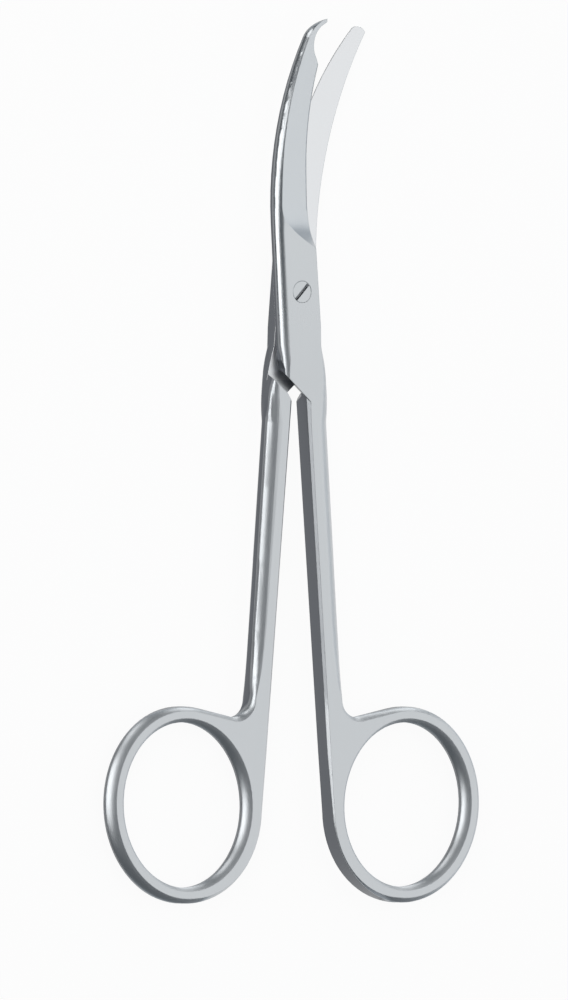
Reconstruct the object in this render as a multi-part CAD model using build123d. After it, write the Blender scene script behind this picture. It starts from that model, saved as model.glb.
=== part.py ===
from build123d import *
import os
from math import acos, atan2, cos, hypot, radians, sin, tan

# Suture scissors, 121 mm long: two forged steel halves that cross at a slotted screw.
# Each half is one forging: blade, joint block, shank and finger ring.
# Both halves are drawn closed, in their own frame: the joint axis is +Z through the origin,
# the tip points along +Y, the mating face is z = 0 and the half's own layer lies above it.
# The handle lies at +X there and fills both layers. The plain half is then turned over.

# Joint
OPENING = 9.0            # angle between the two halves at rest, degrees
LAYER = 1.9              # thickness of one half at the joint
FACE_GAP = 0.03          # room between the two ground mating faces
MATE = FACE_GAP / 2      # height of a half's own mating face
JOINT_EDGE = 2.70        # joint axis to the cutting-edge side of the joint block
JOINT_LOW = -8.0         # where the joint block's edge side runs into the shank
SPINE_LOW = (-3.53, -9.0)    # lower end of the spine side
SPINE_CORNER = (-3.28, -10.25)   # corner where the spine side turns into the diagonal
BLOCK_TONGUE = 0.75      # how far the joint block reaches over the shank's inner side
CORNER_RUN = 3.0         # length over which the block's corner runs into the shank's crown
CORNER_DROP = 0.25       # width and depth of that run-out at its lower end

# Lap of the joint: the own layer ends in an undercut diagonal, and the crossing half's
# raised shoulder follows it at a distance
DIAGONAL_POINT = (-2.15, -12.39)   # on the diagonal, at the outer face
DIAGONAL_ANGLE = 46.1    # slope of the diagonal across the half, degrees
UNDERCUT = 18.9          # lean of the diagonal wall and of the shoulder, degrees
LAP_GAP = 0.33           # least room between diagonal and shoulder, closed
SHOULDER_CORNER = 0.98   # joint axis to the shoulder's corner, across
SHOULDER_LEVEL = 1.5     # height at which the shoulder lines are laid out
SHOULDER_ANGLES = (35.5, 51.7)     # slopes of the shoulder outside and inside its corner

# Spine crown: a vertical wall, a small side radius and a wide crown radius
SPINE_SIDE_RADIUS = 0.85
SPINE_CROWN_RADIUS = 2.1
SPINE_BLEND = 35.0       # tilt at which the side radius becomes the crown radius, degrees
SPINE_CROWN_RISE = 0.064     # the crown stands this much over the ground joint face
SPINE_CROWN_SHIFT = 0.012    # the side radius starts this far outside, so it meets the wall at an edge
BLADE_TAPER = 1.2        # slope of the crown down towards the tip, degrees
TAPER_LEAD = 1.5         # the slope starts this far before the spine starts to curve
TAPER_OVERLAP = 0.6      # the level cut and the sloping cut run this far past each other
TAPER_PIVOT = 0.35       # height about which the sloping cut is tipped: the spine wall's at the tip

# Blade outlines as straight runs (length,) and tangent arcs (radius, turn to the right)
HOOK_SPINE_HEADING = 1.0
HOOK_SPINE = [(18.6,), (50.5, 29.7), (3.75, 31.0), (7.5, 22.0)]
HOOK_EDGE = [(14.6,), (40.0, 3.0), (7.5,), (48.3, 17.45)]
PLAIN_SPINE_HEADING = 2.1
PLAIN_SPINE = [(17.7,), (47.0, -3.6), (64.0, -22.8)]
PLAIN_EDGE = [(18.0,), (44.3, -36.2)]
PLAIN_TIP = (-7.42, 36.97)   # top of the plain half's blunt tip

# Hook with its suture notch
NOTCH_CENTRE = (8.13, 33.2)
NOTCH_RADIUS = 2.95
NOTCH_ARC = (115.7, 215.0)   # from the beak's inner line to the notch's straight side
BEAK_HEADING = 66.8      # direction of the beak's inner line, degrees from the blade axis
BEAK_LENGTH = 1.4
BEAK_TIP = (8.31, 36.60)     # middle of the beak's small round end

# Cutting bevel, ground on the outer face
BEVEL_ANGLE = 18.8       # degrees from the mating face
BEVEL_OVERRUN = 0.6      # how far the cut starts outside the cutting edge
BEVEL_SWEEP = 45.0       # turn of the curved cut, which ends past the tip, degrees
RUNOUT_RADIUS = 10.0     # wheel radius that ends the bevel at the joint
RUNOUT_SWEEP = 60.0      # turn of the wheel, which ends above the joint face, degrees
RUNOUT_START = 11.7      # where the bevel starts to run out, along the blade

# Handle
PARTING = 0.05           # the flat inner side of a shank from the closed midline
HANDLE_HALF = 1.62       # half thickness of the forged blank
GRIND_TOP = 0.02         # ground off the blank at the shank's upper end
GRIND_END = 0.10         # and at its lower end, and off the ring
GRIND_ALLOWANCE = 0.05   # the forged shoulder stands this much over the ground flat
EDGE_BREAK = 0.35        # 45 degree break along the inner side
SHANK_SIDE_RADIUS = 0.85
SHANK_CROWN_RADIUS = 3.5
SHANK_END_CROWN = 3.1    # crown radius near the ring
SHANK_BLEND = 40.0       # tilt where the side radius becomes the crown radius, degrees
SHANK_TOP_RADIUS = 0.12  # rounding of the shank at its upper end
SHANK_OVERLAP = 1.0      # the blank reaches this far past the midline before it is cut flat
SHANK_WALL = 0.1         # least half height of the wall that the crown's roundings leave
SHANK_TOP = -6.5         # upper end of the shank's own form, inside the joint block
SHANK_ROUND = -18.0      # from here on the shank has its full crown
SHANK_THIN = -47.0       # here the crown starts to narrow into the ring's round section
SHANK_END = -55.5        # lower end of the shank, where the ring's web begins
SHOULDER_OUTER = [(-6.5, 2.45), (-10.5, 3.25), (-14.0, 3.60), (-18.0, 3.58)]
SHANK_OUTER = [(-18.0, 3.58), (-26.0, 3.50), (-36.0, 3.41), (-47.0, 3.30), (-55.5, 3.20)]

# Height of the ground flat above the mating plane, along Y
GROUND = [(-9.0, LAYER), (SHANK_ROUND, HANDLE_HALF - GRIND_TOP), (SHANK_END, HANDLE_HALF - GRIND_END)]

# Finger ring: two ellipses on one centre, and a web up to the shank
RING_CENTRE = (12.4, -70.9)
RING_TILT = 10.0         # lean of the ring's long axis, degrees
RING_MID = (11.05, 12.30)    # half axes of the ring's centre line
RING_WIDTH = 2.15
RING_OUTER_RADIUS = 1.12     # rounding outside, on the forged blank
RING_HOLE_RADIUS = 1.00      # rounding on the hole's side
WEB_CORNER = -58.75      # height of the corner between shank and web
WEB_FILLET = 2.4
STRAIGHT_END = -63.0     # where the flat inner side leaves the closed midline
STRIP_END = -71.6        # where the inner side's broken edge goes over into the ring's rim
STRIP_WIDTH = 1.05
RIM_BREAK = 1.17         # mean break of the ring's rim, from small at the web to full rounding
RIM_SHIFT = 1.07         # the break is this much smaller on one side and larger on the other
RIM_SIDE = 200.0         # direction of the smallest break from the ring's centre, degrees

# Joint screw
HEAD_DIAMETER = 2.95
SHANK_DIAMETER = 2.0
CONE_DEPTH = 0.55
HEAD_RIM = 0.12          # straight rim above the cone
HEAD_SINK = 0.02         # the head lies this much under the joint face
SEAT_OVERRUN = 1.0       # the head's seat is cut this far past the joint face
SLOT_WIDTH = 0.45
SLOT_DEPTH = 0.45
SLOT_ANGLE = 47.0
SCREW_CLEARANCE = 0.02   # radial running clearance in the front half
POINT_CHAMFER = 0.15

# Cutting blocks
FAR = 200.0              # reach of a large block, well outside the part
MARGIN = 1.0             # how far a small cutter stands out of the form


def compass(heading):
    """Unit vector at an angle to the right of +Y."""
    return Vector(sin(radians(heading)), cos(radians(heading)), 0)


def trail(start, heading, steps):
    """Edges of a chain of straight runs and tangent arcs."""
    point, direction = Vector(*start), compass(heading)
    edges = []
    for step in steps:
        if len(step) == 1:
            edge = Line(point, point + direction * step[0])
        else:
            edge = JernArc(point, direction, step[0], -step[1])
        point, direction = edge @ 1, edge % 1
        edges.append(edge)
    return edges


def half_space(point, normal):
    """A large block that fills the side of a plane that its normal points to."""
    plane = Plane(origin=point, z_dir=normal)
    return extrude(plane * Rectangle(FAR, FAR), amount=FAR)


def crown_arcs(side, crown, blend, room):
    """Points of a two-arc edge from its wall to its top, inward run and drop, within a height."""
    tilt = radians(blend)
    fit = min(1, room / (side * cos(tilt) + crown * (1 - cos(tilt))))
    side, crown = side * fit, crown * fit
    drop = side * cos(tilt) + crown * (1 - cos(tilt))
    run = side * (1 - sin(tilt)) + crown * sin(tilt)
    low = radians((90 + blend) / 2)
    high = tilt / 2
    return [
        (0, -drop),
        (side * (1 - sin(low)), side * cos(low) - drop),
        (side * (1 - sin(tilt)), -crown * (1 - cos(tilt))),
        (run - crown * sin(high), -crown * (1 - cos(high))),
        (run, 0),
    ]


def blade_face(spine, tip, edge):
    """Outline of blade and joint block, on the mating plane."""
    low_edge = edge[0] @ 0
    foot = Polyline(
        low_edge,
        (BLOCK_TONGUE, JOINT_LOW),
        (BLOCK_TONGUE, SHANK_ROUND),
        (SPINE_CORNER[0], SHANK_ROUND),
        SPINE_CORNER,
        SPINE_LOW,
    )
    return make_face(Curve() + [foot] + spine + tip + edge)


def hook_tip(spine, edge):
    """Beak, notch and notch corner, from the spine's end to the cutting edge's end."""
    start, end = (NOTCH_CENTRE[0] + NOTCH_RADIUS * cos(radians(angle)) for angle in NOTCH_ARC)
    start_y, end_y = (NOTCH_CENTRE[1] + NOTCH_RADIUS * sin(radians(angle)) for angle in NOTCH_ARC)
    beak_root = Vector(start, start_y)
    beak_end = beak_root + compass(BEAK_HEADING) * BEAK_LENGTH
    return [
        ThreePointArc(spine[-1] @ 1, BEAK_TIP, beak_end),
        Line(beak_end, beak_root),
        CenterArc(NOTCH_CENTRE, NOTCH_RADIUS, NOTCH_ARC[0], NOTCH_ARC[1] - NOTCH_ARC[0]),
        Line((end, end_y), edge[-1] @ 1),
    ]


def crown_cutter(path):
    """Waste outside the crowned spine, along part of the spine's path."""
    points = crown_arcs(SPINE_SIDE_RADIUS, SPINE_CROWN_RADIUS, SPINE_BLEND, LAYER)
    height = LAYER + SPINE_CROWN_RISE
    wall, low, mid, high, top = [Vector(x - SPINE_CROWN_SHIFT, height + y) for x, y in points]
    outer = wall - Vector(MARGIN, 0)
    upper = top + Vector(0, MARGIN)
    section = make_face(Curve() + [
        ThreePointArc(wall, low, mid),
        ThreePointArc(mid, high, top),
        Polyline(top, upper, (outer.X, upper.Y), outer, wall),
    ])
    direction = path[0] % 0
    inward = Vector(direction.Y, -direction.X)
    plane = Plane(origin=path[0] @ 0, x_dir=inward, z_dir=-direction)
    return sweep(plane * section, path=Wire(path))


def spine_waste(start, heading, steps):
    """The crown's waste: level along the joint, sloping down along the blade."""
    along = compass(heading)
    low = Vector(*start) + along * (SHANK_ROUND - start[1])
    slope = Vector(*start) + along * (steps[0][0] - TAPER_LEAD)
    before = slope - along * TAPER_OVERLAP
    level = trail(low, heading, [((slope - low).length + TAPER_OVERLAP,)])
    sloping = trail(before, heading, [(TAPER_OVERLAP + TAPER_LEAD,)] + steps[1:])
    pivot = Axis((0, slope.Y, TAPER_PIVOT), (1, 0, 0))
    return crown_cutter(level) + crown_cutter(sloping).rotate(pivot, -BLADE_TAPER)


def bevel_section():
    """Waste over the bevel: outward from the edge at -X, upward at +Y."""
    slope = tan(radians(BEVEL_ANGLE))
    top = 2 * LAYER
    return make_face(Polyline(
        (BEVEL_OVERRUN, -BEVEL_OVERRUN * slope),
        (-top / slope, top),
        (BEVEL_OVERRUN, top),
        (BEVEL_OVERRUN, -BEVEL_OVERRUN * slope),
    ))


def bevel_waste(edge, straight, turn):
    """Waste over the cutting bevel: run-out, straight stretch and curved stretch."""
    start = straight @ 1
    direction = straight % 1
    across = Vector(direction.Y, -direction.X)
    section = Plane(origin=start, x_dir=across, z_dir=-direction) * bevel_section()
    arc = edge[-1]
    centre = arc.arc_center
    curved = revolve(section, Axis(centre, (0, 0, 1)), turn)
    length = (start.Y - RUNOUT_START) / direction.Y
    level = extrude(section, amount=length, dir=-direction)
    foot = start - direction * length
    low = section.moved(Location(foot - start))
    wheel = Axis(foot + Vector(0, 0, RUNOUT_RADIUS), across)
    return curved + level + revolve(low, wheel, -RUNOUT_SWEEP)


def ground_height(y):
    """Height of the ground flat above the mating plane."""
    for (high, top), (low, bottom) in zip(GROUND, GROUND[1:]):
        if y > low:
            return top + (bottom - top) * max(0, high - y) / (high - low)
    return GROUND[-1][1]


def bar_section(y, outer):
    """Closed section of the shank across the handle, with its crown on the outer side."""
    joint_share = min(1, (SHANK_TOP - y) / (SHANK_TOP - SHANK_ROUND))
    ring_share = max(0, (SHANK_THIN - y) / (SHANK_THIN - SHANK_END))
    thin_share = max(0, (SHANK_ROUND - y) / (SHANK_ROUND - SHANK_THIN))
    side = SHANK_TOP_RADIUS + (SHANK_SIDE_RADIUS - SHANK_TOP_RADIUS) * joint_share
    crown = SHANK_TOP_RADIUS + (SHANK_CROWN_RADIUS - SHANK_TOP_RADIUS) * joint_share
    crown -= (SHANK_CROWN_RADIUS - SHANK_END_CROWN) * thin_share
    if ring_share > 0:
        side = SHANK_SIDE_RADIUS + (RING_OUTER_RADIUS - SHANK_SIDE_RADIUS) * ring_share
        crown = SHANK_END_CROWN + (RING_OUTER_RADIUS - SHANK_END_CROWN) * ring_share
    half = HANDLE_HALF if y <= SHANK_ROUND else ground_height(y) + GRIND_ALLOWANCE
    arcs = crown_arcs(side, crown, SHANK_BLEND, half - SHANK_WALL)
    points = [(outer - x, half + z) for x, z in arcs]
    below = [(x, -z) for x, z in points]
    section = make_face(Curve() + [
        Line((-SHANK_OVERLAP, -half), (-SHANK_OVERLAP, half)),
        Line((-SHANK_OVERLAP, half), points[4]),
        ThreePointArc(points[4], points[3], points[2]),
        ThreePointArc(points[2], points[1], points[0]),
        Line(points[0], below[0]),
        ThreePointArc(below[0], below[1], below[2]),
        ThreePointArc(below[2], below[3], below[4]),
        Line(below[4], (-SHANK_OVERLAP, -half)),
    ])
    return Plane(origin=(0, y, 0), x_dir=(1, 0, 0), z_dir=(0, -1, 0)) * section


def tangent_point(point, side):
    """Where a line from a point outside the ring touches its outline; side is 1 or -1."""
    half_x, half_y = (mid + RING_WIDTH / 2 for mid in RING_MID)
    ring = Location((*RING_CENTRE, 0), (0, 0, -RING_TILT))
    local = ring.inverse() * Pos(*point)
    x, y = local.position.X / half_x, local.position.Y / half_y
    turn = atan2(y, x) + side * acos(1 / hypot(x, y))
    touch = ring * Pos(half_x * cos(turn), half_y * sin(turn))
    return touch.position


def ring_ellipse(offset):
    """Filled ellipse about the ring's centre line, grown by an offset."""
    ring = Location((*RING_CENTRE, 0), (0, 0, -RING_TILT))
    return ring * Ellipse(RING_MID[0] + offset, RING_MID[1] + offset)


def ring_outline():
    """Filled outline of the ring and its web, up to the end of the shank."""
    corner = (SHANK_OUTER[-1][1], WEB_CORNER)
    parting = (PARTING, STRAIGHT_END)
    web = make_face(Polyline(
        (PARTING, SHANK_END),
        (corner[0], SHANK_END),
        corner,
        tangent_point(corner, -1),
        RING_CENTRE,
        tangent_point(parting, 1),
        parting,
        (PARTING, SHANK_END),
    ))
    outline = ring_ellipse(RING_WIDTH / 2) + web
    crook = outline.vertices().sort_by_distance(corner)[0]
    return fillet(crook, WEB_FILLET)


def rounded_ring(outline):
    """Ring and web with the forged blank's roundings."""
    blank = extrude(outline, amount=HANDLE_HALF, both=True)
    hole = extrude(ring_ellipse(-RING_WIDTH / 2), amount=LAYER, both=True)
    flats = blank.faces().filter_by(Axis.Z)
    rims = [edge for edge in flats.edges() if abs(edge.center().Y - SHANK_END) > 0.01]
    ring = fillet(rims, RING_OUTER_RADIUS) - hole
    mouth = [edge for edge in ring.faces().filter_by(Axis.Z).edges() if edge.is_closed]
    return fillet(mouth, RING_HOLE_RADIUS)


def ring_rim():
    """Outer half of the ring, whose edge break widens from the web side into the full rounding."""
    band = ring_ellipse(RING_WIDTH / 2) - ring_ellipse(0)
    base = RING_WIDTH / 2 - RIM_BREAK + GROUND[-1][1]
    side = radians(RIM_SIDE)
    centre = Pos(RIM_SHIFT * cos(side), RIM_SHIFT * sin(side))
    foot = centre * ring_ellipse(base)
    cone = loft([foot, Pos(0, 0, HANDLE_HALF) * centre * ring_ellipse(base - HANDLE_HALF)])
    return extrude(band, amount=HANDLE_HALF, both=True) & (cone + mirror(cone, Plane.XY))


def inner_strip(outline):
    """Flat inner side of the ring's web, down to the ring's rim."""
    length = SHANK_END - STRIP_END
    window = Pos(PARTING + STRIP_WIDTH / 2, SHANK_END - length / 2) * Rectangle(STRIP_WIDTH, length)
    return extrude(outline & window, amount=HANDLE_HALF, both=True)


def shank():
    """Shank from the joint block to the ring, flat inside and crowned outside."""
    bar = None
    for stations in (SHOULDER_OUTER, SHANK_OUTER):
        stretch = loft([bar_section(y, outer) for y, outer in stations])
        bar = stretch if bar is None else bar + stretch
    return bar - half_space((PARTING, 0, 0), (-1, 0, 0))


def edge_breaks(solid):
    """Break the two long edges of the flat inner side."""
    (top_y, top_z), (end_y, end_z) = GROUND[1:]
    rise = (top_z - end_z) / (top_y - end_y)
    for side in (1, -1):
        solid -= half_space((PARTING, top_y, side * (top_z - EDGE_BREAK)), (-1, -rise, side))
    return solid


def shoulder_waste():
    """Room for the crossing half's block: the handle's other layer starts at the shoulder."""
    lean = tan(radians(UNDERCUT))
    slope = radians(DIAGONAL_ANGLE)
    outward = Vector(sin(slope), -cos(slope))
    near = Vector(-DIAGONAL_POINT[0], DIAGONAL_POINT[1]) - outward * lean * (LAYER - SHOULDER_LEVEL)
    start = near + outward * LAP_GAP
    along = Vector(cos(slope), sin(slope))
    corner = start + along * ((SHOULDER_CORNER - start.X) / along.X)
    waste = None
    for angle in SHOULDER_ANGLES:
        turn = radians(angle)
        normal = (-sin(turn), cos(turn), -lean)
        block = half_space((corner.X, corner.Y, -SHOULDER_LEVEL), normal)
        waste = block if waste is None else waste + block
    return waste & half_space((0, 0, MATE), (0, 0, -1))


def ground_envelope():
    """Everything between the two flats that the whole half is ground to."""
    upper = [(FAR, LAYER)] + GROUND + [(-FAR, GROUND[-1][1])]
    lower = [(y, -z) for y, z in reversed(upper)]
    section = Plane.YZ * make_face(Polyline(*upper, *lower, upper[0]))
    return extrude(section, amount=FAR, both=True)


def joint_block(face):
    """Blade and joint block in the own layer, with the undercut diagonal."""
    block = extrude(Pos(0, 0, MATE) * face, amount=LAYER - MATE)
    slope = radians(DIAGONAL_ANGLE)
    normal = (-sin(slope), -cos(slope), -tan(radians(UNDERCUT)))
    block -= half_space((*DIAGONAL_POINT, LAYER), normal)
    corner = (JOINT_EDGE, JOINT_LOW + CORNER_RUN, LAYER)
    return block - half_space(corner, (1, -CORNER_DROP / CORNER_RUN, 1))


def handle():
    """Shank and ring of a half, in both layers."""
    outline = ring_outline()
    bar = edge_breaks(shank() + inner_strip(outline))
    return bar - shoulder_waste() + rounded_ring(outline) + ring_rim()


def blade_half(spine_heading, spine_steps, edge_steps, hooked):
    """One forged half in its own closed frame, before the screw hole."""
    spine = trail(SPINE_LOW, spine_heading, spine_steps)
    edge = trail((JOINT_EDGE, JOINT_LOW), 0, edge_steps)
    tip = hook_tip(spine, edge) if hooked else [ThreePointArc(spine[-1] @ 1, PLAIN_TIP, edge[-1] @ 1)]
    block = joint_block(blade_face(spine, tip, edge))
    block -= spine_waste(SPINE_LOW, spine_heading, spine_steps)
    block -= bevel_waste(edge, edge[-2], -BEVEL_SWEEP if hooked else BEVEL_SWEEP)
    return (handle() + block) & ground_envelope()


def screw_profile(grow, top):
    """Half section of the joint screw or, grown by a clearance, of its seat."""
    head = HEAD_DIAMETER / 2 + grow
    stem = SHANK_DIAMETER / 2 + grow
    rim = LAYER - HEAD_SINK - HEAD_RIM
    return Polyline(
        (0, -LAYER),
        (stem, -LAYER),
        (stem, rim - CONE_DEPTH),
        (head, rim),
        (head, top),
        (0, top),
        (0, -LAYER),
    )


def turned(profile):
    """Body of revolution about the joint axis."""
    return revolve(Plane.XZ * make_face(profile), Axis.Z)


def joint_screw():
    """Slotted countersunk screw, flush with both joint faces."""
    screw = turned(screw_profile(0, LAYER - HEAD_SINK))
    point = screw.faces().sort_by(Axis.Z)[0]
    screw = chamfer(point.edges(), POINT_CHAMFER)
    slot = Box(HEAD_DIAMETER * 2, SLOT_WIDTH, SLOT_DEPTH * 2)
    return screw - Pos(0, 0, LAYER - HEAD_SINK) * Rot(0, 0, SLOT_ANGLE) * slot


def build():
    """The three pieces at rest, with the lower joint face on z = 0."""
    hook = blade_half(HOOK_SPINE_HEADING, HOOK_SPINE, HOOK_EDGE, True)
    hook -= turned(screw_profile(SCREW_CLEARANCE, LAYER + SEAT_OVERRUN))
    plain = blade_half(PLAIN_SPINE_HEADING, PLAIN_SPINE, PLAIN_EDGE, False)
    plain -= extrude(Circle(SHANK_DIAMETER / 2), amount=2 * LAYER, both=True)
    up = Pos(0, 0, LAYER)
    return {
        "hook_blade_half": up * Rot(0, 0, OPENING / 2) * hook,
        "plain_blade_half": up * Rot(0, 0, -OPENING / 2) * Rot(0, 180, 0) * plain,
        "joint_screw": up * joint_screw(),
    }


os.makedirs("parts", exist_ok=True)
for name, piece in build().items():
    export_step(piece, f"parts/{name}.step")
    print(name, round(piece.volume, 2), "mm3")
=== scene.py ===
import math

import bpy
from bpy.props import FloatProperty, PointerProperty, StringProperty
from mathutils import Matrix, Vector


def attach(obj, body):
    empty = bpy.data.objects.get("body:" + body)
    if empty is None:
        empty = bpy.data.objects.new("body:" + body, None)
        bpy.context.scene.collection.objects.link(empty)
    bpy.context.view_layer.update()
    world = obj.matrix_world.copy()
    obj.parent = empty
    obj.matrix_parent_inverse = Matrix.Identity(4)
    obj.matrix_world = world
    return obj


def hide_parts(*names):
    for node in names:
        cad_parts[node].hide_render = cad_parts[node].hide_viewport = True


bl_info = {
    "name": "Suture scissors",
    "version": (1, 0, 0),
    "blender": (4, 5, 0),
    "location": "View3D > Sidebar > Scissors",
    "description": "Dresses a pair of suture scissors in satin steel and sets up its studio",
    "category": "Object",
}

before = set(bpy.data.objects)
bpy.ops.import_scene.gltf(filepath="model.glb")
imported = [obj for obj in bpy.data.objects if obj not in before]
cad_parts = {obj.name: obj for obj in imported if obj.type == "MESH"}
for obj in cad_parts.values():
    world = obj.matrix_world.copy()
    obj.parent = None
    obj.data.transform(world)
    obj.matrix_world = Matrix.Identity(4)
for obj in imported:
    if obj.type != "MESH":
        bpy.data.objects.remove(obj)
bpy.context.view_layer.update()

MM = 0.001
SCREW = "joint_screw"

# Photograph: frame in pixels, its scale, and where the joint axis shows in it
IMAGE_WIDTH = 568
IMAGE_HEIGHT = 1000
PIXELS_PER_MM = 7.355
JOINT_PIXEL = (294.5, 292.0)

# Height at which the halves slide on each other, and the turn of each half from closed
MATING_HEIGHT = 1.9 * MM
HALF_TURN = math.radians(4.5)

# Each half's node with its body, its material slot and its turn
HALVES = {
    "hook_blade_half": ("hook_half", "hook_half_steel", HALF_TURN),
    "plain_blade_half": ("plain_half", "plain_half_steel", -HALF_TURN),
}

# Vertices this close are one
MERGE_GAP = 0.001 * MM

# Hand-ground roundings: the upward part of the normal is the least of two straight lines over the height
# from the mating plane, each written as its start and its slope per millimetre
SPINE_RISE = ((0.0, 0.585), (0.30, 0.355))
RING_RISE = ((0.74, 0.45), (0.72, 0.13))

# The spine's rounding comes in over this length, and its crown sinks towards the tip
# with the square of the distance from the taper's start
SPINE_FOOT = (-10 * MM, -7 * MM)
TAPER_START = 8 * MM
TAPER_CURVE = 0.67          # sinking in metres, for a square metre

# The ring's middle line is an ellipse. Outside it the rounding comes in over a width that leans with the
# shank, and over a length below the web.
RING_CENTRE = (17.9 * MM, -69.7 * MM)
RING_HALF = (11.05 * MM, 12.3 * MM)
RING_LEAN = 0.35
RING_OUTSIDE = (8.5 * MM, 11.5 * MM)
RING_TOP = (-58 * MM, -54 * MM)

# Parts of a normal between which a face comes to count as what the name says
SPINE_FACING = (0.1, 0.2)       # sideways, the blade's spine
INNER_FACING = (0.3, 0.6)       # sideways, a shank's inner side
STEEP_FACING = (0.05, 0.25)     # level, steep enough to be rounded
SHADE_FACING = (0.2, 0.75)      # up or down, from a wall's painted shade to a flat's plain steel colour

# Finish, with painted shade and painted sheen
STREAK_LENGTH = 40          # length of a grinding streak, in widths
STREAK_DETAIL = 3.0         # finer streaks inside the coarse ones, and how strong they are
STREAK_ROUGHNESS = 0.6
STREAK_DEPTH = 0.01 * MM
UNEVENNESS = (0.85, 1.15)   # the streaks vary the roughness between these parts of it
BREAK_SHADE = 0.5        # how far the shanks' broken edges go from the flats' colour to the walls' painted shade, which dims their highlight
LAPPED_DEPTH = 0.03 * MM    # the lapped faces lie this near to the mating plane
LAPPED_END = -12 * MM       # and end here, behind the joint
EDGE_RADIUS = 0.12 * MM     # how soft the edges look
EDGE_SAMPLES = 8
HANDLE_TOP = -12 * MM       # the handles' finish ends here
BLADE_FOOT = 6 * MM         # and the blades' finish begins here

# Studio. A softbox has its angle off the vertical and its azimuth from +X in degrees, its distance
# and its two sides in metres, and the setting that holds its brightness.
FLOOR_SIZE = 12
SOFTBOXES = {
    "left_softbox": (-48, -8, 0.55, (0.3, 0.45), "left"),
    "right_softbox": (38, 0, 0.60, (1.0, 0.8), "right"),
    "far_softbox": (55, 115, 0.80, (0.35, 0.35), "far"),
    "low_softbox": (70, 58, 0.80, (0.35, 0.35), "far"),
}
SOFTBOX_SHIFT = -28 * MM    # along its own y, which at azimuth 0 is towards the rings
ROOM_LOW = (0.1, 0.4)       # upward part of a direction, over which the room's walls fade out
ROOM_LEFT = (-0.6, -0.2)    # its sideways part, over which they come in from the left

# Settings of the nodes that are used often
ADD = {"operation": "ADD"}
SUBTRACT = {"operation": "SUBTRACT"}
MULTIPLY = {"operation": "MULTIPLY"}
DIVIDE = {"operation": "DIVIDE"}
MINIMUM = {"operation": "MINIMUM"}
MAXIMUM = {"operation": "MAXIMUM"}
ABSOLUTE = {"operation": "ABSOLUTE"}
BELOW = {"operation": "LESS_THAN"}
ABOVE = {"operation": "GREATER_THAN"}
NORMALIZE = {"operation": "NORMALIZE"}
SMOOTH = {"interpolation_type": "SMOOTHSTEP"}

# A Mix node has sockets of the same name for each type of data, so they are given by number
MIX_NUMBERS = {"data_type": "FLOAT"}        # factor 0, inputs 2 and 3, output 0
MIX_VECTORS = {"data_type": "VECTOR"}       # factor 0, inputs 4 and 5, output 1
MIX_COLOURS = {"data_type": "RGBA"}         # factor 0, inputs 6 and 7, output 2


def linear(text):
    """sRGB hex colour as linear RGBA."""
    values = [int(text[i:i + 2], 16) / 255 for i in (1, 3, 5)]
    return tuple(v / 12.92 if v <= 0.04045 else ((v + 0.055) / 1.055) ** 2.4 for v in values) + (1.0,)


def add_node(tree, kind, settings, sources):
    """Adds a node and returns its outputs.

    Settings are attributes of the node. Sources fill its inputs, in order or by name or number,
    each with a value or with the output that is linked to it.
    """
    node = tree.nodes.new(kind)
    for name, value in settings.items():
        setattr(node, name, value)
    pairs = sources.items() if isinstance(sources, dict) else enumerate(sources)
    for key, source in pairs:
        if isinstance(source, bpy.types.NodeSocket):
            tree.links.new(source, node.inputs[key])
        else:
            node.inputs[key].default_value = source
    return node.outputs


def new_material(name):
    """Material with an empty node tree."""
    material = bpy.data.materials.new(name)
    material.use_nodes = True
    material.node_tree.nodes.clear()
    return material, material.node_tree


def deselect_all():
    """Nothing selected and nothing active."""
    bpy.ops.object.select_all(action="DESELECT")
    bpy.context.view_layer.objects.active = None


def steel_copy(node, name, steel):
    """A copy of a CAD node in its steel, with its doubled vertices merged and its edges still sharp."""
    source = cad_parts[node]
    piece = bpy.data.objects.new(name, source.data.copy())
    bpy.context.scene.collection.objects.link(piece)
    deselect_all()
    piece.select_set(True)
    bpy.context.view_layer.objects.active = piece
    bpy.ops.object.mode_set(mode="EDIT")
    bpy.ops.mesh.select_all(action="SELECT")
    bpy.ops.mesh.remove_doubles(threshold=MERGE_GAP, use_sharp_edge_from_normals=True)
    bpy.ops.object.mode_set(mode="OBJECT")
    piece.data.materials.clear()
    piece.data.materials.append(steel)
    return piece


def least_line(tree, height, lines):
    """The least of two straight lines over a height."""
    values = []
    for start, slope in lines:
        climb = add_node(tree, "ShaderNodeMath", MULTIPLY, (height, slope / MM))[0]
        values.append(add_node(tree, "ShaderNodeMath", ADD, (climb, start))[0])
    return add_node(tree, "ShaderNodeMath", MINIMUM, values)[0]


def spine_rise(tree, place, level):
    """Upward part of the normal on a blade's spine, whose crown sinks towards the tip."""
    past = add_node(tree, "ShaderNodeMath", SUBTRACT, (place["Y"], TAPER_START))[0]
    past = add_node(tree, "ShaderNodeMath", MAXIMUM, (past, 0))[0]
    square = add_node(tree, "ShaderNodeMath", MULTIPLY, (past, past))[0]
    sunk = add_node(tree, "ShaderNodeMath", MULTIPLY, (square, TAPER_CURVE))[0]
    height = add_node(tree, "ShaderNodeMath", ABSOLUTE, (level,))[0]
    height = add_node(tree, "ShaderNodeMath", ADD, (height, sunk))[0]
    rise = least_line(tree, height, SPINE_RISE)
    upper_or_lower = add_node(tree, "ShaderNodeMath", {"operation": "SIGN"}, (level,))[0]
    return add_node(tree, "ShaderNodeMath", MULTIPLY, (rise, upper_or_lower))[0]


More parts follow.
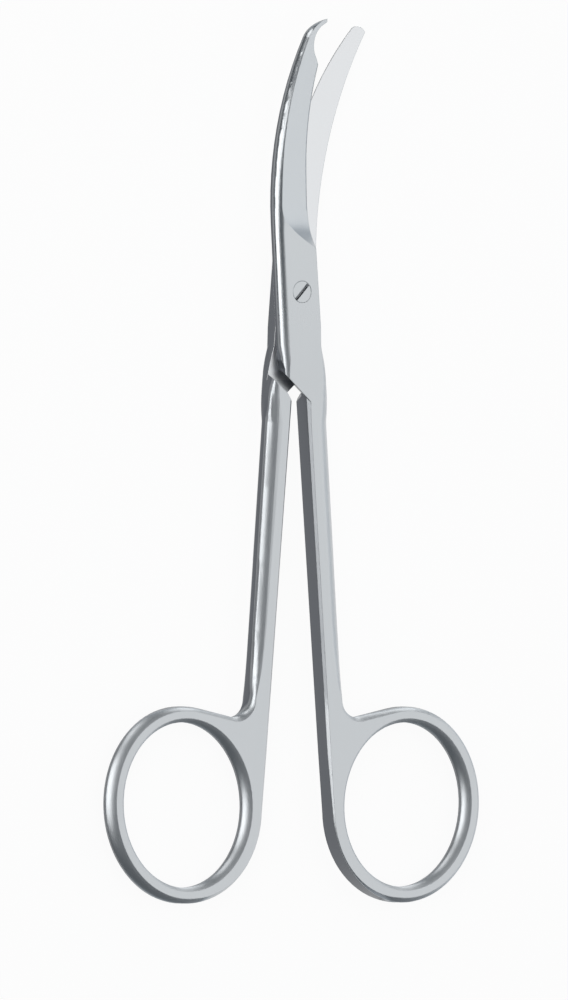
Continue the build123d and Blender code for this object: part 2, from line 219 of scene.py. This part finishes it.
def ring_share(tree, place):
    """1 on the rings' hand-ground roundings: all round the hole, and outside away from the shank."""
    across = add_node(tree, "ShaderNodeMath", ABSOLUTE, (place["X"],))[0]
    off_x = add_node(tree, "ShaderNodeMath", SUBTRACT, (across, RING_CENTRE[0]))[0]
    off_y = add_node(tree, "ShaderNodeMath", SUBTRACT, (place["Y"], RING_CENTRE[1]))[0]
    squares = []
    for off, half in zip((off_x, off_y), RING_HALF):
        part = add_node(tree, "ShaderNodeMath", DIVIDE, (off, half))[0]
        squares.append(add_node(tree, "ShaderNodeMath", MULTIPLY, (part, part))[0])
    reach = add_node(tree, "ShaderNodeMath", ADD, squares)[0]
    hole = add_node(tree, "ShaderNodeMath", BELOW, (reach, 1))[0]

    lean = add_node(tree, "ShaderNodeMath", MULTIPLY, (off_y, RING_LEAN))[0]
    width = add_node(tree, "ShaderNodeMath", ADD, (across, lean))[0]
    outside = add_node(tree, "ShaderNodeMapRange", SMOOTH, (width, *RING_OUTSIDE))[0]
    above = add_node(tree, "ShaderNodeMapRange", SMOOTH, (place["Y"], *RING_TOP))[0]
    below = add_node(tree, "ShaderNodeMath", SUBTRACT, (1, above))[0]
    outside = add_node(tree, "ShaderNodeMath", MULTIPLY, (outside, below))[0]
    return add_node(tree, "ShaderNodeMath", MAXIMUM, (hole, outside))[0]


def rounded_normal(tree, place, normal, side):
    """Normal of the steel's surface.

    On the spines and rings its tilt follows the height above the mating plane, as hand grinding leaves it,
    and it keeps the mesh's direction seen from above. Elsewhere it is the mesh's own.
    """
    facing = add_node(tree, "ShaderNodeSeparateXYZ", {}, (normal,))
    level = add_node(tree, "ShaderNodeMath", SUBTRACT, (place["Z"], MATING_HEIGHT))[0]

    # Tilt
    ring = ring_share(tree, place)
    rises = {0: ring, 2: spine_rise(tree, place, level), 3: least_line(tree, level, RING_RISE)}
    rise = add_node(tree, "ShaderNodeMix", MIX_NUMBERS, rises)[0]
    rise = add_node(tree, "ShaderNodeMath", MINIMUM, (rise, 1))[0]

    # Direction seen from above, shortened to leave a unit vector with the tilt
    flat = add_node(tree, "ShaderNodeCombineXYZ", {}, (facing["X"], facing["Y"]))[0]
    direction = add_node(tree, "ShaderNodeVectorMath", NORMALIZE, (flat,))[0]
    square = add_node(tree, "ShaderNodeMath", MULTIPLY, (rise, rise))[0]
    rest = add_node(tree, "ShaderNodeMath", SUBTRACT, (1, square))[0]
    rest = add_node(tree, "ShaderNodeMath", {"operation": "SQRT"}, (rest,))[0]
    shortening = {"Vector": direction, "Scale": rest}
    shortened = add_node(tree, "ShaderNodeVectorMath", {"operation": "SCALE"}, shortening)[0]
    aside = add_node(tree, "ShaderNodeSeparateXYZ", {}, (shortened,))
    tilted = add_node(tree, "ShaderNodeCombineXYZ", {}, (aside["X"], aside["Y"], rise))[0]

    # Where it holds: on the rings, and on the side where the blade's spine is
    outward = add_node(tree, "ShaderNodeMath", MULTIPLY, (facing["X"], side))[0]
    spine = add_node(tree, "ShaderNodeMapRange", SMOOTH, (outward, *SPINE_FACING))[0]
    blade = add_node(tree, "ShaderNodeMapRange", SMOOTH, (place["Y"], *SPINE_FOOT))[0]
    spine = add_node(tree, "ShaderNodeMath", MULTIPLY, (spine, blade))[0]
    share = add_node(tree, "ShaderNodeMath", MAXIMUM, (spine, ring))[0]
    steepness = add_node(tree, "ShaderNodeVectorMath", {"operation": "LENGTH"}, (flat,))["Value"]
    steep = add_node(tree, "ShaderNodeMapRange", SMOOTH, (steepness, *STEEP_FACING))[0]
    share = add_node(tree, "ShaderNodeMath", MULTIPLY, (share, steep))[0]
    mixed = add_node(tree, "ShaderNodeMix", MIX_VECTORS, {0: share, 4: normal, 5: tilted})[1]
    return add_node(tree, "ShaderNodeVectorMath", NORMALIZE, (mixed,))[0]


def steel_colour_with_painted_light(tree, settings, place, normal, side):
    """Steel colour with painted light: plain on flats and crowns, painted shade on the walls and the shanks'
    broken edges, and a painted sheen on the faces where the halves slide on each other.
    """
    facing = add_node(tree, "ShaderNodeSeparateXYZ", {}, (normal,))
    rise = add_node(tree, "ShaderNodeMath", ABSOLUTE, (facing["Z"],))[0]
    # Painted shade: the less a face looks up or down, the more its colour goes to the darker wall colour
    unshaded = add_node(tree, "ShaderNodeMapRange", {}, (rise, *SHADE_FACING))[0]

    # The broken edges between the shanks get painted shade too, which dims their highlight. The halves cross
    # at the joint, so a shank's inner side faces the same way as its blade's spine.
    sideways = add_node(tree, "ShaderNodeMath", MULTIPLY, (facing["X"], side))[0]
    inner = add_node(tree, "ShaderNodeMapRange", SMOOTH, (sideways, *INNER_FACING))[0]
    handle = add_node(tree, "ShaderNodeMath", BELOW, (place["Y"], HANDLE_TOP))[0]
    above_ring = add_node(tree, "ShaderNodeMapRange", SMOOTH, (place["Y"], *RING_TOP))[0]
    shank = add_node(tree, "ShaderNodeMath", MULTIPLY, (handle, above_ring))[0]
    broken = add_node(tree, "ShaderNodeMath", MULTIPLY, (inner, shank))[0]
    # Painted shade on the broken edges
    painted_break_shade = add_node(tree, "ShaderNodeMath", MULTIPLY, (broken, BREAK_SHADE))[0]
    kept = add_node(tree, "ShaderNodeMath", SUBTRACT, (1, painted_break_shade))[0]
    unshaded = add_node(tree, "ShaderNodeMath", MULTIPLY, (unshaded, kept))[0]
    # The wall colour is painted shade, standing in for the dark reflections on the walls
    colours = {0: unshaded, 6: linear(settings.wall_shade), 7: linear(settings.steel)}
    ground = add_node(tree, "ShaderNodeMix", MIX_COLOURS, colours)[2]

    # Lapped faces, with a painted sheen: a lighter colour than the ground steel
    level = add_node(tree, "ShaderNodeMath", SUBTRACT, (place["Z"], MATING_HEIGHT))[0]
    level = add_node(tree, "ShaderNodeMath", ABSOLUTE, (level,))[0]
    mating = add_node(tree, "ShaderNodeMath", BELOW, (level, LAPPED_DEPTH))[0]
    blade = add_node(tree, "ShaderNodeMath", ABOVE, (place["Y"], LAPPED_END))[0]
    lapped = add_node(tree, "ShaderNodeMath", MULTIPLY, (mating, blade))[0]
    colours = {0: lapped, 6: ground, 7: linear(settings.lapped)}
    return add_node(tree, "ShaderNodeMix", MIX_COLOURS, colours)[2]


def satin_steel(name, settings, turn, side):
    """Stainless steel, belt ground along the half and lapped between the blades.

    The turn is the half's about the joint. The side is where its blade's spine is, 1 for +X, or 0 for none.
    """
    # The grinding gives a soft sheen drawn out along the half, with one clear highlight on each rounding.
    # Walls get a painted shade of dark grey, and the lapped faces a painted sheen of nearly white.
    material, tree = new_material(name)
    spot = add_node(tree, "ShaderNodeTexCoord", {}, ())
    place = add_node(tree, "ShaderNodeSeparateXYZ", {}, (spot["Object"],))
    normal = rounded_normal(tree, place, spot["Normal"], side)

    # Grinding streaks. Real ones are about 0.04 mm wide, too fine to show, so they are drawn wider.
    across = 1 / settings.streak
    along = across / STREAK_LENGTH
    stretch = {"Vector": spot["Object"], "Rotation": (0, 0, -turn), "Scale": (across, along, across)}
    stretched = add_node(tree, "ShaderNodeMapping", {}, stretch)[0]
    streaks = {"Vector": stretched, "Scale": 1.0, "Detail": STREAK_DETAIL, "Roughness": STREAK_ROUGHNESS}
    grit = add_node(tree, "ShaderNodeTexNoise", {}, streaks)["Fac"]

    # Blades are ground finer than handles
    finishes = (place["Y"], HANDLE_TOP, BLADE_FOOT, settings.handle, settings.blade)
    finish = add_node(tree, "ShaderNodeMapRange", {}, finishes)[0]
    uneven = add_node(tree, "ShaderNodeMapRange", {}, (grit, 0, 1, *UNEVENNESS))[0]
    roughness = add_node(tree, "ShaderNodeMath", MULTIPLY, (finish, uneven))[0]

    # The streaks' relief, and edges that catch the light as if slightly rounded
    to_world = {"vector_type": "NORMAL", "convert_from": "OBJECT", "convert_to": "WORLD"}
    turned = add_node(tree, "ShaderNodeVectorTransform", to_world, (normal,))[0]
    relief = {"Strength": settings.relief, "Distance": STREAK_DEPTH, "Height": grit, "Normal": turned}
    bumped = add_node(tree, "ShaderNodeBump", {}, relief)[0]
    soft = add_node(tree, "ShaderNodeBevel", {"samples": EDGE_SAMPLES}, (EDGE_RADIUS, bumped))[0]

    colour = steel_colour_with_painted_light(tree, settings, place, normal, side)
    steel = {"Base Color": colour, "Metallic": 1.0, "Roughness": roughness, "Normal": soft}
    surface = add_node(tree, "ShaderNodeBsdfPrincipled", {}, steel)[0]
    add_node(tree, "ShaderNodeOutputMaterial", {}, (surface,))
    return material


class ScissorsSettings(bpy.types.PropertyGroup):
    """Colours and finish of the steel."""

    steel: StringProperty(
        name="Steel", description="Colour of the ground flats, sRGB",
        default="#CBCED0")
    # Painted shade: a darker colour for the walls, standing in for their dark reflections
    wall_shade: StringProperty(
        name="Walls", description="Colour of the duller side walls, sRGB",
        default="#606368")
    # Painted sheen: a lighter colour for the lapped faces, standing in for their brighter reflection
    lapped: StringProperty(
        name="Lapped", description="Colour of the lapped inner faces, sRGB",
        default="#E5E6E7")
    handle: FloatProperty(
        name="Handle roughness", description="Roughness of the shanks and rings",
        default=0.33, min=0, max=1, subtype="FACTOR")
    blade: FloatProperty(
        name="Blade roughness", description="Roughness of the blades",
        default=0.22, min=0, max=1, subtype="FACTOR")
    relief: FloatProperty(
        name="Relief", description="Strength of the grinding streaks",
        default=0.15, min=0, max=1, subtype="FACTOR")
    streak: FloatProperty(
        name="Streak width", description="Width of a grinding streak",
        default=0.12 * MM, min=0.01 * MM, precision=5, unit="LENGTH")


class StudioSettings(bpy.types.PropertyGroup):
    """Camera, floor, room and lamps."""

    turn: FloatProperty(
        name="Camera turn", description="Turn of the camera to the left about the scissors' length",
        default=math.radians(33.5), subtype="ANGLE")
    roll: FloatProperty(
        name="Camera roll", description="Turn of the camera about the joint axis",
        default=math.radians(0.33), subtype="ANGLE")
    distance: FloatProperty(
        name="Camera distance", description="Lens to the middle of the frame",
        default=3.0, min=0.1, unit="LENGTH")
    floor: StringProperty(
        name="Floor", description="Colour of the floor, sRGB",
        default="#F7F7F7")
    room: StringProperty(
        name="Room", description="Colour of the dim room around, sRGB",
        default="#E6F0FA")
    ceiling: FloatProperty(
        name="Ceiling", description="Brightness of the room all round",
        default=0.14, min=0)
    walls: FloatProperty(
        name="Room walls", description="Brightness added low down, except on the left",
        default=0.45, min=0)
    glow: FloatProperty(
        name="Floor glow", description="Share of plain white in the floor that is seen or reflected",
        default=0.94, min=0, max=1, subtype="FACTOR")
    left: FloatProperty(
        name="Left lamp", description="Brightness of the left softbox's face",
        default=2.1, min=0)
    right: FloatProperty(
        name="Right lamp", description="Brightness of the right softbox's face",
        default=0.86, min=0)
    far: FloatProperty(
        name="Far lamps", description="Brightness of the far and the low softbox's faces",
        default=1.5, min=0)


class SCISSORS_OT_halves(bpy.types.Operator):
    """Make the two forged halves from the CAD nodes and give them their steel"""

    bl_idname = "scissors.halves"
    bl_label = "Forged halves"

    def execute(self, context):
        settings = context.scene.scissors
        for node, (body, slot, turn) in HALVES.items():
            # A blade is turned towards its spine's side
            side = -math.copysign(1, turn)
            steel = satin_steel(slot.replace("half", "satin"), settings, turn, side)
            piece = steel_copy(node, node.replace("_half", "_forging"), steel)
            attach(piece, body)
            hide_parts(node)
        return {"FINISHED"}


class SCISSORS_OT_screw(bpy.types.Operator):
    """Make the slotted joint screw"""

    bl_idname = "scissors.screw"
    bl_label = "Joint screw"

    def execute(self, context):
        # Turned from bar and ground flush with the joint, so the head is as bright as the flat around it
        steel = satin_steel("turned_stainless_steel", context.scene.scissors, 0, 0)
        piece = steel_copy(SCREW, "joint_screw_turned", steel)
        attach(piece, "plain_half")
        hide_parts(SCREW)
        return {"FINISHED"}


def softbox(name, zenith, azimuth, distance, size, radiance):
    """Area lamp that faces the scissors, from an angle off the vertical towards an azimuth from +X."""
    lamp = bpy.data.lights.new(name, "AREA")
    lamp.shape = "RECTANGLE"
    lamp.size, lamp.size_y = size
    # Power that gives a face of this size its radiance
    lamp.energy = radiance * math.pi * size[0] * size[1]
    holder = bpy.data.objects.new(name, lamp)
    bpy.context.scene.collection.objects.link(holder)
    turn = Matrix.Rotation(math.radians(azimuth), 4, "Z") @ Matrix.Rotation(math.radians(zenith), 4, "Y")
    holder.matrix_world = turn @ Matrix.Translation((0, SOFTBOX_SHIFT, distance))


class SCISSORS_OT_stage(bpy.types.Operator):
    """Set up the floor, the softboxes, the room and the camera of the photograph"""

    bl_idname = "scissors.stage"
    bl_label = "Studio"

    def execute(self, context):
        studio = context.scene.scissors_studio
        self.floor(studio)
        for name, (zenith, azimuth, distance, size, setting) in SOFTBOXES.items():
            softbox(name, zenith, azimuth, distance, size, getattr(studio, setting))
        self.room(studio)
        self.camera(studio)
        context.scene.view_settings.view_transform = "Standard"
        return {"FINISHED"}

    def floor(self, studio):
        """Large pale matt floor that the scissors lie on."""
        deselect_all()
        bpy.ops.mesh.primitive_plane_add(size=FLOOR_SIZE)
        floor = bpy.context.active_object
        floor.name = "floor"

        # Painted board, matt to the lamps, and nearly plain white where the camera or the steel looks at it
        material, tree = new_material("pale_matt_floor")
        matt = add_node(tree, "ShaderNodeBsdfDiffuse", {}, {"Color": linear(studio.floor)})[0]
        white = add_node(tree, "ShaderNodeEmission", {}, {"Strength": 1.0})[0]
        rays = add_node(tree, "ShaderNodeLightPath", {}, ())
        seen = add_node(tree, "ShaderNodeMath", ADD, (rays["Is Camera Ray"], rays["Is Glossy Ray"]))[0]
        seen = add_node(tree, "ShaderNodeMath", ADD, (seen, rays["Is Transmission Ray"]))[0]
        share = add_node(tree, "ShaderNodeMath", MULTIPLY, (seen, studio.glow))[0]
        surface = add_node(tree, "ShaderNodeMixShader", {}, (share, matt, white))[0]
        add_node(tree, "ShaderNodeOutputMaterial", {}, (surface,))
        floor.data.materials.append(material)

    def room(self, studio):
        """Dim room, brighter low down except on the left."""
        world = bpy.data.worlds.new("studio_room")
        world.use_nodes = True
        tree = world.node_tree
        tree.nodes.clear()
        direction = add_node(tree, "ShaderNodeTexCoord", {}, ())["Generated"]
        way = add_node(tree, "ShaderNodeSeparateXYZ", {}, (direction,))
        high = add_node(tree, "ShaderNodeMapRange", SMOOTH, (way["Z"], *ROOM_LOW))[0]
        low = add_node(tree, "ShaderNodeMath", SUBTRACT, (1, high))[0]
        right = add_node(tree, "ShaderNodeMapRange", SMOOTH, (way["X"], *ROOM_LEFT))[0]
        walls = add_node(tree, "ShaderNodeMath", MULTIPLY, (low, right))[0]
        extra = add_node(tree, "ShaderNodeMath", MULTIPLY, (walls, studio.walls))[0]
        strength = add_node(tree, "ShaderNodeMath", ADD, (extra, studio.ceiling))[0]
        light = add_node(tree, "ShaderNodeBackground", {}, (linear(studio.room), strength))[0]
        add_node(tree, "ShaderNodeOutputWorld", {}, (light,))
        bpy.context.scene.world = world

    def camera(self, studio):
        """Long lens at the photograph's angle, with its frame of the scissors."""
        scale = MM / PIXELS_PER_MM
        right = (IMAGE_WIDTH / 2 - JOINT_PIXEL[0]) * scale
        down = (IMAGE_HEIGHT / 2 - JOINT_PIXEL[1]) * scale
        turn = Matrix.Rotation(studio.roll, 4, "Z") @ Matrix.Rotation(-studio.turn, 4, "Y")
        lens = bpy.data.cameras.new("photo_camera")
        lens.lens = lens.sensor_width * studio.distance / (IMAGE_HEIGHT * scale)
        holder = bpy.data.objects.new("photo_camera", lens)
        bpy.context.scene.collection.objects.link(holder)
        target = Vector((0, 0, MATING_HEIGHT)) + turn.to_3x3() @ Vector((right, -down, 0))
        holder.matrix_world = Matrix.Translation(target) @ turn @ Matrix.Translation((0, 0, studio.distance))
        bpy.context.scene.camera = holder


class SCISSORS_PT_panel(bpy.types.Panel):
    """Buttons and settings of the suture scissors"""

    bl_idname = "SCISSORS_PT_panel"
    bl_label = "Suture scissors"
    bl_space_type = "VIEW_3D"
    bl_region_type = "UI"
    bl_category = "Scissors"

    def draw(self, context):
        for settings in (context.scene.scissors, context.scene.scissors_studio):
            for name in settings.__annotations__:
                self.layout.prop(settings, name)
        for operator in OPERATORS:
            self.layout.operator(operator.bl_idname)


OPERATORS = (SCISSORS_OT_halves, SCISSORS_OT_screw, SCISSORS_OT_stage)
CLASSES = (ScissorsSettings, StudioSettings, *OPERATORS, SCISSORS_PT_panel)


def register():
    """Register the classes and hang their settings on the scene."""
    for cls in CLASSES:
        bpy.utils.register_class(cls)
    bpy.types.Scene.scissors = PointerProperty(type=ScissorsSettings)
    bpy.types.Scene.scissors_studio = PointerProperty(type=StudioSettings)


def unregister():
    """Take back what register did."""
    del bpy.types.Scene.scissors_studio
    del bpy.types.Scene.scissors
    for cls in reversed(CLASSES):
        bpy.utils.unregister_class(cls)


def main():
    """Build the scissors and the studio."""
    register()
    bpy.ops.scissors.halves()
    bpy.ops.scissors.screw()
    bpy.ops.scissors.stage()


if __name__ == "__main__":
    main()
